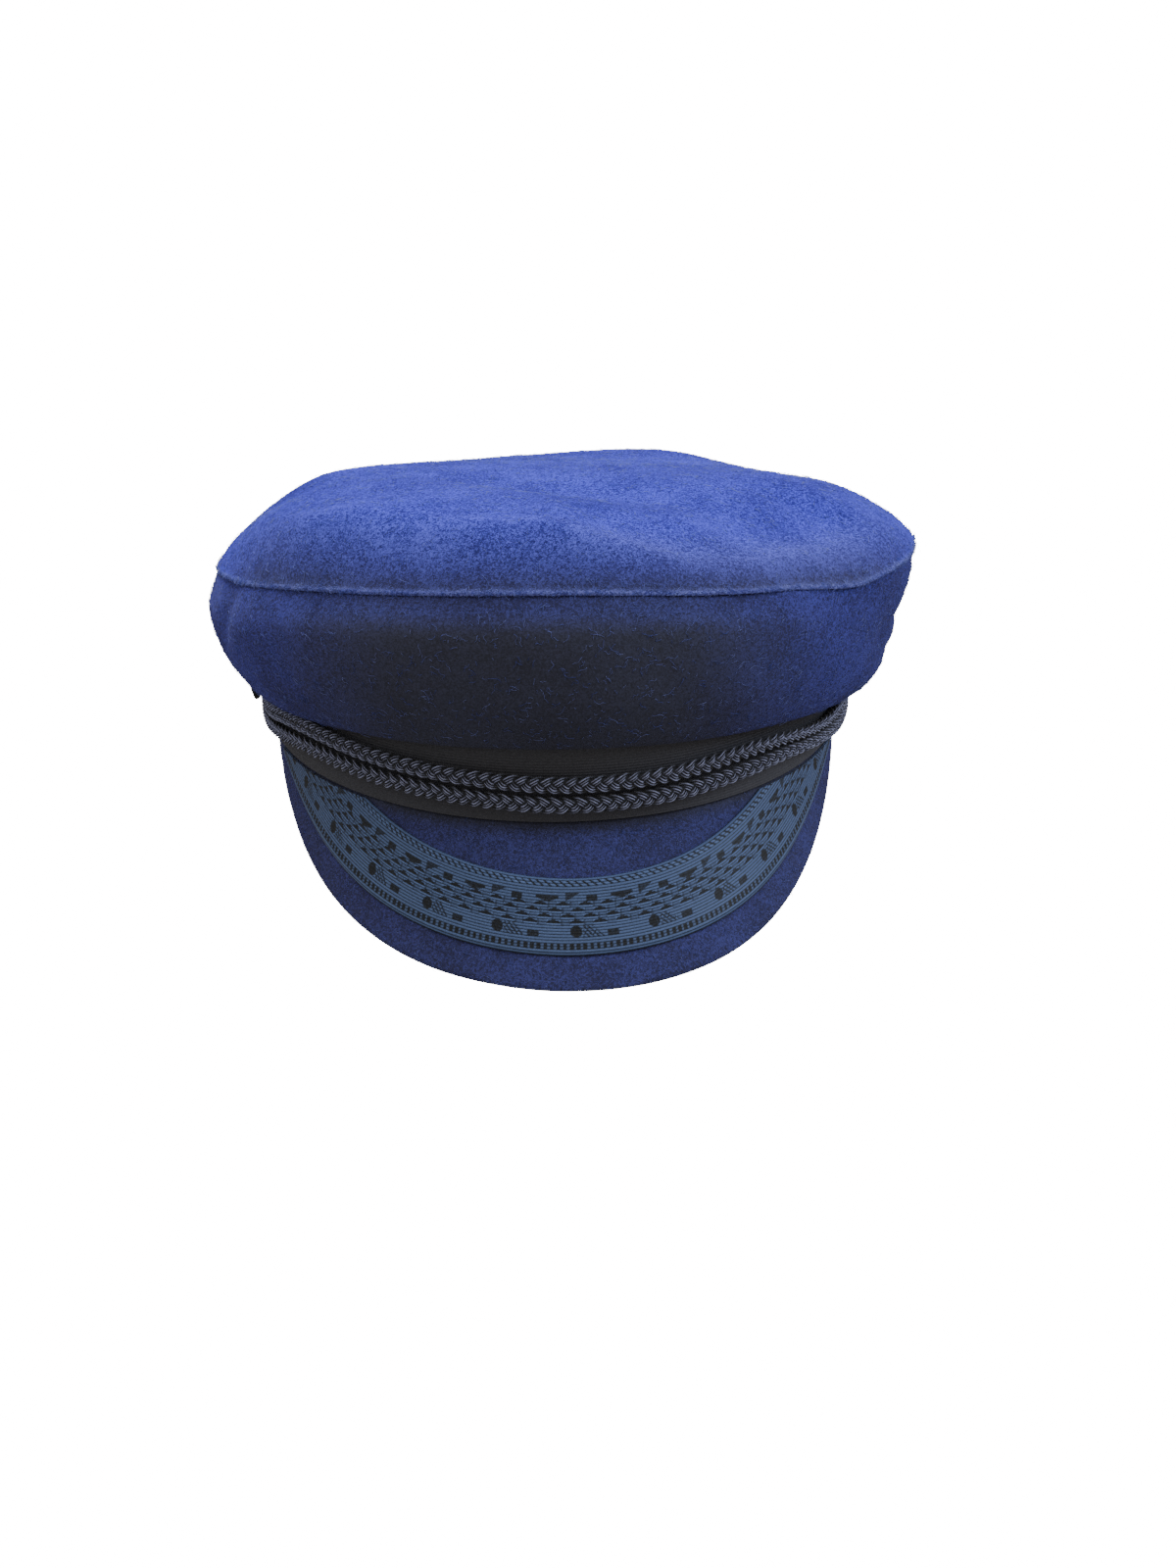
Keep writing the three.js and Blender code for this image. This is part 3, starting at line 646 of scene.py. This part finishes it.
def crown_top():
    """The top panel: rows from the seam to the middle and back underneath, one cloth deep, closed with a
    fan at the middle. The outer face gets slack, puckers, and the seam's bead, which stands up and whose
    edge comes down nearly to the side panel. In front the cloth has painted shade near the seam, and the
    seam and the slope above it get painted highlight."""
    angle = np.linspace(-180, 180, CROWN_COLUMNS, endpoint=False)
    shares = (np.arange(110) / 110) ** 1.7
    base = on_top(angle[None], shares[:, None])
    face = normals(base)
    face *= np.sign(face[20:60, :, 2].mean())
    gone = run_length(base)
    rise = TOP_SLACK * waves(base[..., 0], base[..., 1], SLACK) * np.minimum(gone / TOP_SLACK_FROM, 1)
    rise += pucker(angle[None]) * TOP_PUCKER * np.exp(-gone / TOP_PUCKER_FADE)
    rise += BEAD * bell(gone - BEAD_AT, BEAD_REACH)
    skin = base + face * rise[..., None]
    skin[0, :, 2] -= 0.2
    under = (base - face * CLOTH)[::6]
    under[0] = base[0] - outward(angle) * CLOTH
    grid = np.concatenate([skin[::-1], under])
    middle = on_top(np.array([0.0]), np.array([1.0]))
    middle = middle + [0, 0, TOP_SLACK * float(waves(0.0, -3.0, SLACK))]
    points = np.concatenate([grid.reshape(-1, 3), middle, middle - [0, 0, CLOTH]])

    rows, columns = grid.shape[:2]
    ring = np.arange(columns)
    after = np.roll(ring, -1)
    last = (rows - 1) * columns
    top_fan = np.stack([np.full(columns, rows * columns), after, ring], -1)
    low_fan = np.stack([np.full(columns, rows * columns + 1), last + ring, last + after], -1)
    faces = [grid_faces(rows, columns, False, True), top_fan, low_fan]

    # Painted shade: in front the cloth is painted darker towards the seam, from 28 mm in. A painted highlight
    # lies on the seam's bead, and a faint painted light on the slope some 14 mm in from the front seam.
    front = 1 - step(np.abs(angle[None]), 48, 82)
    painted_lighting = 1 - 0.9 * front * np.clip(1 - gone / 28, 0, 1) ** 1.8
    painted_highlight = 0.8 * bell(gone - 0.3, 0.7) + 0.16 * front * bell(gone - 14, 9)
    unseen = under.size // 3
    painted_lighting = np.concatenate([painted_lighting[::-1].ravel(), np.full(unseen, 0.3), [1.0, 0.3]])
    painted_highlight = np.concatenate([painted_highlight[::-1].ravel(), np.zeros(unseen + 2)])
    put("wool_top_panel", place(points), faces, WOOL, ["crown_top"], {"painted_lighting": painted_lighting, "painted_highlight": painted_highlight})
    return skin


def head_band():
    """The wool band: an upright wall with rounded edges, its section a rounded box carried round the
    oval."""
    angle = np.linspace(-180, 180, 360, endpoint=False)
    turn = np.linspace(0, np.pi, 7)
    half = BAND_WALL / 2
    top = np.stack([-half + half * np.cos(turn), BAND_HEIGHT - half + half * np.sin(turn)], -1)
    low = np.stack([-half - half * np.cos(turn), half - half * np.sin(turn)], -1)
    section = np.concatenate([top, low])[:, None]
    grid = at(angle[None], section[..., 0], section[..., 1])
    # The band is painted part way between painted shade and lit.
    painted_lighting = np.full(grid.shape[:2], 0.4)
    carried_piece("wool_band", grid, True, WOOL, ["head_band"], {"painted_lighting": painted_lighting})


def band_ribbon():
    """The ribbed ribbon: its face waves in and out by the cosine of its height over the ribs' spacing."""
    angle = np.linspace(-RIBBON_END, RIBBON_END, 200)
    up = np.linspace(RIBBON_LOW, RIBBON_HIGH, 127)
    wave = RIBBON_WAVE * np.cos(2 * np.pi * (up - RIBBON_LOW) / RIBBON_RIB)
    face = np.stack([GAP + RIBBON_THICK - RIBBON_WAVE + wave, up], -1)
    back = np.array([[GAP, RIBBON_HIGH], [GAP, RIBBON_LOW]])
    section = np.concatenate([face, back])[:, None]
    grid = at(angle[None], section[..., 0], section[..., 1])
    carried_piece("ribbed_band_ribbon", grid, False, RIBBON, ["band_ribbon"])


def peak_reach(angle):
    """How far the peak's edge lies from the band: widest in front, by a power of what is left of a bowed
    share, fuller by a bell, and cut in at its two ends."""
    share = np.abs(angle) / PEAK_END
    bow = np.maximum(1 - share**PEAK_BOW, 0) ** PEAK_TAPER
    full = PEAK_FULL * bell(angle - PEAK_FULL_AT, PEAK_FULL_WIDE)
    reach = PEAK_END_REACH + (PEAK_REACH - PEAK_END_REACH) * bow + full
    return reach * (1 - PEAK_CORNER * share**PEAK_CORNER_POWER)


def on_peak(angle, run, lift):
    """A point a run down the peak's slope and a lift off its face. The slope grows with the angle
    squared, less a bell where the peak lies flatter."""
    slope = PEAK_SLOPE + (PEAK_END_SLOPE - PEAK_SLOPE) * (angle / PEAK_END) ** 2
    slope = np.radians(slope - PEAK_FLAT * bell(angle - PEAK_FULL_AT, PEAK_FULL_WIDE))
    out = run * np.cos(slope) + lift * np.sin(slope)
    return at(angle, out, lift * np.cos(slope) - run * np.sin(slope) - GAP)


def peak():
    """The peak: a wool covered board with a round edge. Its section goes out along the upper face, half
    round the edge and back under, and its upper face ripples a little."""
    angle = np.linspace(-PEAK_END, PEAK_END, 360)[None]
    reach = peak_reach(angle)
    half = PEAK_THICK / 2
    share = (np.arange(1, 40) / 39)[:, None]
    run = share * (reach - half)
    edge = np.linspace(0, np.pi, 11)[1:-1, None]
    ripple = sum(high * np.sin(np.radians(angle) * count + share * lean) * share
                 for count, lean, high in PEAK_RIPPLES)
    upper = on_peak(angle, run, ripple)
    round_edge = on_peak(angle, reach - half + half * np.sin(edge), half * np.cos(edge) - half)
    lower = on_peak(angle, run[::-3], np.full((13, 1), -PEAK_THICK))
    root = at(angle, 0, -GAP)
    inner = at(angle, -BAND_WALL, -GAP)
    grid = np.concatenate([root, upper, round_edge, lower, inner])
    # Painted shade: the peak is painted darker than the crown's top, and near the band it fades to full
    # painted shade over the first 5 mm, as a painted contact shadow.
    painted_lighting = np.full(grid.shape[:2], 0.23)
    painted_lighting[0] = 0
    painted_lighting[1:len(run) + 1] *= step(run, 0, 5)
    carried_piece("wool_peak", grid, False, WOOL, ["peak"], {"painted_lighting": painted_lighting})
    return np.concatenate([upper, round_edge[:5]])


def weave_pattern(u, v):
    """How light the ribbon's yarn is at u along it and v in from its outer edge. Across it lie two plain
    ribs, a row of small dark cells, two plain ribs, a row of leaves, combs and blocks, a chain of short
    bars with a dark scallop under each, a row of dark half leaves half a repeat over, and a twisted
    rope."""
    def within(rows):
        """Whether v lies in some rows."""
        return (v >= rows[0] * RIB) & (v < rows[1] * RIB)

    def across(rows):
        """How far v is across some rows, from 0 to 1."""
        return (v / RIB - rows[0]) / (rows[1] - rows[0])

    def along(period, shift=0.0):
        """How far u is along its repeat: the rest of u over the period."""
        return (u + shift) % period

    # A painted shadow: a dark line 0.25 mm wide along the ribbon's outer edge.
    light = np.where(v < 0.25, 0.02, PLAIN)
    light = np.where(within(CELLS), np.where(along(1.7) < 0.95, 0.0, 0.62), light)

    place_on, high = along(REPEAT), across(FIGURES)
    leaf = np.abs(place_on - 1.8) < 1.6 * np.sqrt(np.clip(1 - (2 * high - 1) ** 2, 0, 1))
    comb = (place_on > 3.6) & (place_on < 9.2 - 3.2 * high)
    twill = along(1.25, 0.9 * v) < 0.55
    block = (place_on > 9.8) & (place_on < 13.0) & (high < 0.5)
    figures = np.where(comb, np.where(twill, 0.85, 0.1), np.where(block, 0.05, PLAIN))
    light = np.where(within(FIGURES), np.where(leaf, 0.0, figures), light)

    row = np.floor((v / RIB - CHAIN[0]) / 2)
    bar = along(6.2, 3.1 * row + 0.7 * np.sin(5 * row)) - 2.0
    deep = (v / RIB) % 2 / 2
    scallop = (deep > 0.3) & (deep < 0.4 + 0.5 * np.sqrt(np.clip(1 - (bar / 1.9) ** 2, 0, 1)))
    chain = np.where(np.abs(bar) < 1.9, np.where(scallop, 0.02, 0.95), np.where(bar < 2.4, 0.3, 0.6))
    light = np.where(within(CHAIN), chain, light)

    place_on, high = along(REPEAT, REPEAT / 2), across(HALF_LEAVES)
    leaf = (np.abs(place_on - 4.5) < 3.2 * np.clip(1 - (2 * high - 1) ** 2, 0, 1)) & (high < 0.62)
    wedge = (place_on > 9.5) & (place_on < 9.5 + 4.5 * high)
    small = (np.abs(place_on - 17.0) < 1.5) & (high < 0.6)
    figures = np.where(wedge, 0.12, np.where(small, 0.05, PLAIN))
    light = np.where(within(HALF_LEAVES), np.where(leaf, 0.04, figures), light)

    rope = along(2.2, 1.1 * (v / RIB - ROPE[0]))
    return np.where(within(ROPE), np.where(rope < 1.4, 0.95, 0.0), light)


def peak_trim():
    """The patterned ribbon on the peak: its ribs are rounded by a sine, with a dark gap between them, and
    it is lower at its edges. Where it runs out under the cord, its rows are gathered at the seam."""
    angle = np.linspace(-TRIM_END, TRIM_END, 920)[None]
    far = peak_reach(angle) - TRIM_MARGIN
    inward = (np.arange(TRIM_RIBS * RIB_ROWS + 1) * RIB / RIB_ROWS)[:, None]
    run = np.maximum(far - inward, TRIM_SEAM)
    beyond = np.maximum(TRIM_SEAM - (far - inward), 0)
    round_rib = np.sin(np.pi * ((inward / RIB) % 1))
    middle = on_peak(angle, far - TRIM_WIDTH / 2, np.full_like(angle, GAP + TRIM_THICK))[0]
    along = np.concatenate([[0], np.cumsum(np.linalg.norm(np.diff(middle, axis=0), axis=-1))])
    u = np.broadcast_to((along - along[-1] / 2)[None], run.shape)
    v = np.broadcast_to(np.clip(inward + 1e-3, 0, TRIM_WIDTH - 1e-3), run.shape)
    pattern = weave_pattern(u, v)
    edge = step(np.minimum(inward, TRIM_WIDTH - inward), -0.4, 1.2)
    lift = GAP + 0.1 + (0.5 + 0.12 * round_rib + 0.08 * np.minimum(pattern, 1)) * edge - 0.004 * beyond
    face = on_peak(angle, run, lift)
    low_far = on_peak(angle, far, np.full_like(angle, GAP))
    low_near = on_peak(angle, np.maximum(far - TRIM_WIDTH, TRIM_SEAM), np.full_like(angle, GAP))
    grid = np.concatenate([face, low_near, low_far])
    light = pattern * round_rib**0.5
    light = np.concatenate([light, light[-1:], light[:1]])
    carried_piece("woven_peak_trim", grid, False, JACQUARD, ["peak_trim"], {"weave": light})


def cord_pinch(angle):
    """How far the runs are drawn together, from 0 to 1: only on the stretch before the wearer's left
    temple."""
    return step(angle, 30, 52) * (1 - step(angle, 58, 70))


def cord_line():
    """The cord's closed middle line as angles and heights, and where its first half ends: over the front
    on one run, half round the left button's shank, back on the other run and half round the right
    one's."""
    per_mm = np.degrees(1 / HALF_LENGTH)
    angle = np.linspace(-BUTTON_ANGLE, BUTTON_ANGLE, 241)
    t = np.clip((BUTTON_ANGLE - np.abs(angle)) / per_mm / CORD_SPREAD, 0, 1)
    near = (CORD_APART - CORD_PINCH * cord_pinch(angle) - CORD_END_PINCH * step(np.abs(angle), 60, 72)) / 2
    half = CORD_LOOP + (near - CORD_LOOP) * t * t * (3 - 2 * t)
    middle = around(CORD_LINE, 1, angle)
    turn = np.radians(np.arange(75, -76, -15))
    loop = np.stack([BUTTON_ANGLE + CORD_LOOP * np.cos(turn) * per_mm,
                     BUTTON_UP + CORD_LOOP * np.sin(turn)], -1)
    upper = np.stack([angle, middle + half], -1)
    lower = np.stack([angle, middle - half], -1)[::-1]
    return np.concatenate([upper, loop, lower, (loop * [-1, 1])[::-1]]), len(upper) + len(loop) // 2


def tubes(paths, across, out, radius, sides):
    """Round tubes along many paths at once: circles of points in the plane of two given directions."""
    across, out = (np.broadcast_to(way, paths.shape) for way in (across, out))
    turn = np.arange(sides) * 2 * np.pi / sides
    ring = np.cos(turn)[:, None] * out[..., None, :] + np.sin(turn)[:, None] * across[..., None, :]
    return paths[..., None, :] + ring * radius


def tube_faces(count, samples, sides):
    """The faces of several open tubes whose points are numbered tube by tube, each closed with two end
    faces."""
    base = np.arange(count * samples * sides).reshape(count, samples, sides)
    after = np.roll(base, -1, 2)
    walls = np.stack([base[:, :-1], base[:, 1:], after[:, 1:], after[:, :-1]], -1).reshape(-1, 4)
    return [walls, base[:, 0], base[:, -1, ::-1]]


def plait(name, s, pitch, angle, middle):
    """One half of the cord, at distances s along its middle line. Three strands swing across by the sine
    of their phase and in and out by the sine of twice that, which plaits them flat. Three yarns lie side
    by side in each strand, and lean as it does. A flat core, painted dark as shade, fills what is between
    them. Each yarn is paler on its outward faces where it stands out: partly wear, partly a painted
    highlight."""
    out = outward(angle)
    way = np.gradient(middle, axis=0)
    way /= np.linalg.norm(way, axis=-1, keepdims=True)
    across = np.cross(way, out)
    phase = 2 * np.pi * (s / pitch + np.arange(3)[:, None] / 3)
    swing = PLAIT_SWING - PLAIT_PINCH * cord_pinch(angle)
    lean = np.arctan(swing * 2 * np.pi / pitch * np.cos(phase))
    yarn = YARNS_ACROSS[:, None, None]
    side = swing * np.sin(phase) + yarn * np.cos(lean)
    slide = -yarn * np.sin(lean)
    lift = (PLAIT_LIFT + PLAIT_CROWN * (yarn == 0)) * np.sin(2 * phase)
    paths = middle + across * side[..., None] + out * lift[..., None] + way * slide[..., None]

    count = len(YARN_TONES)
    yarns = tubes(paths.reshape(count, len(s), 3), across, out, YARN_RADIUS, YARN_SIDES)
    core = tubes(middle[None], across[None] * CORE_ACROSS, out[None] * CORE_OUT, 1.0, CORE_SIDES)
    points = np.concatenate([yarns.reshape(-1, 3), core.reshape(-1, 3)])
    faces = tube_faces(count, len(s), YARN_SIDES)
    faces += [f + yarns.size // 3 for f in tube_faces(1, len(s), CORE_SIDES)]

    # Wear and painted highlight: the yarns are paler on the faces that look out and where they stand out, and
    # the core is painted dark as shade.
    facing = np.clip(np.cos(np.arange(YARN_SIDES) * 2 * np.pi / YARN_SIDES), 0, 1) ** 2
    stands_out = np.clip(0.5 + 0.5 * lift.reshape(count, -1)[..., None] / 0.8, 0, 1)
    wear_and_highlight = stands_out * facing * YARN_TONES[:, None, None]
    wear_and_highlight = np.concatenate([wear_and_highlight.ravel(), np.full(len(s) * CORE_SIDES, CORE_PAINTED_SHADE)])
    put(name, place(points), faces, YARN, ["front_cord"], {"wear_and_highlight": wear_and_highlight})


def front_cord():
    """The doubled cord, in two halves that meet behind the buttons: its line starts behind the right button,
    and a whole number of pitches fits in it."""
    line, split = cord_line()
    line = np.concatenate([line, line[:1]])
    start = len(line) - 7
    line = np.concatenate([line[start:-1], line[:start + 1]])
    split = split + len(line) - 1 - start
    drawn_in = sum(depth * bell(line[:, 0] - angle, reach) for angle, reach, depth in CORD_DRAWN_IN)
    points = at(line[:, 0], CORD_OFF - drawn_in, line[:, 1])
    gone = np.concatenate([[0], np.cumsum(np.linalg.norm(np.diff(points, axis=0), axis=-1))])
    pitch = gone[-1] / round(gone[-1] / PLAIT_PITCH)
    halves = (("plaited_cord_upper", 0.0, gone[split]), ("plaited_cord_lower", gone[split], gone[-1]))
    for name, low, high in halves:
        s = np.linspace(low, high, int((high - low) / pitch * PLAIT_POINTS))
        angle = np.interp(s, gone, line[:, 0])
        middle = np.stack([np.interp(s, gone, points[:, k]) for k in range(3)], -1)
        plait(name, s, pitch, angle, middle)


def buttons():
    """The two side buttons: a shank and a domed head with a rounded rim, turned about the way out of the
    band."""
    seat = CORD_OFF + CORD_RADIUS + GAP
    inside = BUTTON_RADIUS - BUTTON_RIM
    bend = np.radians(np.arange(-90, 91, 18))
    rim = np.stack([inside + BUTTON_RIM * np.cos(bend), seat + BUTTON_RIM + BUTTON_RIM * np.sin(bend)], -1)
    dome = np.linspace(0, 1, 12)[1:, None]
    rise = BUTTON_DOME * (1 - (1 - dome) ** 2.2)
    dome = np.concatenate([inside * (1 - dome), seat + 2 * BUTTON_RIM + rise], -1)
    profile = np.concatenate([[[0.001, GAP], [SHANK, GAP], [SHANK, seat]], rim, dome])
    profile[-1, 0] = 0.001
    turn = np.linspace(0, 2 * np.pi, 64, endpoint=False)
    sides = (("right_button", "side_button_right", -BUTTON_ANGLE),
             ("left_button", "side_button_left", BUTTON_ANGLE))
    for name, node_name, angle in sides:
        out = outward(np.array(angle))
        level = np.array([-out[1], out[0], 0])
        r, h = profile[:, None, 0:1], profile[:, None, 1:2]
        spoke = np.cos(turn)[:, None] * level + np.sin(turn)[:, None] * [0, 0, 1]
        grid = at(angle, 0, BUTTON_UP) + h * out + r * spoke
        rows, columns = grid.shape[:2]
        index = np.arange(rows * columns).reshape(rows, columns)
        faces = [grid_faces(rows, columns, False, True), index[0][None, ::-1], index[-1][None]]
        put(name, place(grid), faces, BUTTON, [node_name])


def loose_fibres(name, skin, closed, count, length, lift, seed, weight=None):
    """Loose fibres scattered over a grid of points, more where its cells are large: each a thin tube that
    leans off the cloth in a random direction, and curls and wavers by sines. Length and lift are the
    least and the greatest, and most fibres are near the least."""
    random = np.random.default_rng(seed)
    face = normals(skin, closed)
    face *= np.sign((face * (skin - skin.mean((0, 1)))).sum(-1).mean())
    a, b = skin[1:, :-1] - skin[:-1, :-1], skin[:-1, 1:] - skin[:-1, :-1]
    area = np.linalg.norm(np.cross(a, b), axis=-1)
    if weight is not None:
        area = area * weight[:-1, :-1]
    cell = random.choice(area.size, count, p=area.ravel() / area.sum())
    row, column = np.divmod(cell, area.shape[1])
    spot = skin[row, column] + a[row, column] * random.random((count, 1))
    spot = spot + b[row, column] * random.random((count, 1))
    up = face[row, column]
    aim = random.normal(size=(count, 3))
    aim -= up * (aim * up).sum(-1, keepdims=True)
    aim /= np.linalg.norm(aim, axis=-1, keepdims=True)
    cross = np.cross(up, aim)
    reach = length[0] + (length[1] - length[0]) * random.random((count, 1)) ** 2
    curl = reach * random.normal(size=(count, 1)) * 0.35
    height = lift[0] + (lift[1] - lift[0]) * random.random((count, 1)) ** 2
    waver = 0.12 * reach * random.normal(size=(count, 1))
    t = np.linspace(0, 1, FIBRE_POINTS)[None, :, None]
    sway = curl[:, None] * t * (1.2 - t) + waver[:, None] * np.sin(2.4 * np.pi * (t + curl[:, None]))
    path = (spot[:, None] + aim[:, None] * reach[:, None] * t + cross[:, None] * sway
            + up[:, None] * (height[:, None] * np.sin(np.pi * (0.15 + 0.7 * t)) + 0.02))
    rods = tubes(path, cross[:, None], up[:, None], FIBRE_RADIUS, FIBRE_SIDES)
    put(name, place(rods), tube_faces(count, FIBRE_POINTS, FIBRE_SIDES), FIBRE)


def link(thing):
    """Puts an object into the scene."""
    bpy.context.scene.collection.objects.link(thing)
    return thing


def floor_piece(name, drop, material):
    """A level square 12 m wide, a drop below the floor's height."""
    mesh = bpy.data.meshes.new(name)
    mesh.from_pydata([(-6, -6, 0), (6, -6, 0), (6, 6, 0), (-6, 6, 0)], [], [(0, 1, 2, 3)])
    mesh.materials.append(material)
    made = link(bpy.data.objects.new(name, mesh))
    made.location.z = -drop
    return made


def studio():
    """A pale floor that glows as a white backdrop but lights nothing, with a grey one under it that only
    gives back its share of light, four soft square lights, a weak warm light all round, and the camera
    where the photograph's stood."""
    white = finished("pale_floor", lambda tree, spot: {
        "Base Color": linear("#f4f4f4"), "Roughness": 0.9, "Specular IOR Level": 0.1,
        "Emission Color": linear("#ffffff"), "Emission Strength": 17.0,
    })
    grey = finished("grey_base", lambda tree, spot: {"Base Color": linear("#b4b4b4"), "Roughness": 1.0})
    floor = floor_piece("floor", 0.0002, white)
    floor.visible_diffuse = False
    floor.visible_glossy = False
    base = floor_piece("shade_under_floor", 0.0004, grey)
    base.visible_camera = False

    world = bpy.data.worlds.new("studio")
    world.use_nodes = True
    background = world.node_tree.nodes["Background"].inputs
    background["Color"].default_value = linear("#f7eee2")
    background["Strength"].default_value = 0.42
    bpy.context.scene.world = world

    for name, spot, aim, power, code in (
        ("back_key", (-0.3, 1.1, 1.95), (0.16, -0.58, -1), 39.5, "#dfe6ff"),
        ("overhead_fill", (-0.05, -0.4, 2.2), (0.02, 0.18, -1), 7.0, "#f4f8ff"),
        ("left_fill", (-1.7, -0.2, 1.3), (0.8, 0.05, -0.55), 2.5, "#e6eeff"),
        ("right_fill", (1.7, -0.2, 1.3), (-0.8, 0.05, -0.55), 15.0, "#e6eeff"),
    ):
        light = bpy.data.lights.new(name, "AREA")
        light.size = 1.0
        light.energy = power
        light.color = linear(code)[:3]
        lamp = link(bpy.data.objects.new(name, light))
        lamp.location = spot
        lamp.rotation_mode = "QUATERNION"
        lamp.rotation_quaternion = mathutils.Vector(aim).to_track_quat("-Z", "Y")

    camera = link(bpy.data.objects.new("camera", bpy.data.cameras.new("camera")))
    camera.data.lens = 47.745
    camera.location = (-0.0145, -0.5698, 0.3364)
    camera.rotation_euler = np.radians([58.5, 0, -2.28])
    bpy.context.scene.camera = camera


top_skin = crown_top()
side_skin = crown_side()
head_band()
band_ribbon()
peak_skin = peak()
peak_trim()
front_cord()
buttons()
loose_fibres("loose_fibres_top", top_skin, True, 4200, (0.8, 4.2), (0.05, 0.5), 11)
loose_fibres("loose_fibres_side", side_skin, True, 3200, (0.8, 3.8), (0.05, 0.4), 12)
seam_weight = bell(run_length(top_skin) - 0.6, 0.6)
loose_fibres("loose_fibres_seam", top_skin, True, 4200, (0.4, 1.7), (0.1, 0.45), 14, seam_weight)
loose_fibres("loose_fibres_peak", peak_skin, False, 1600, (0.5, 2.2), (0.05, 0.3), 13)
studio()
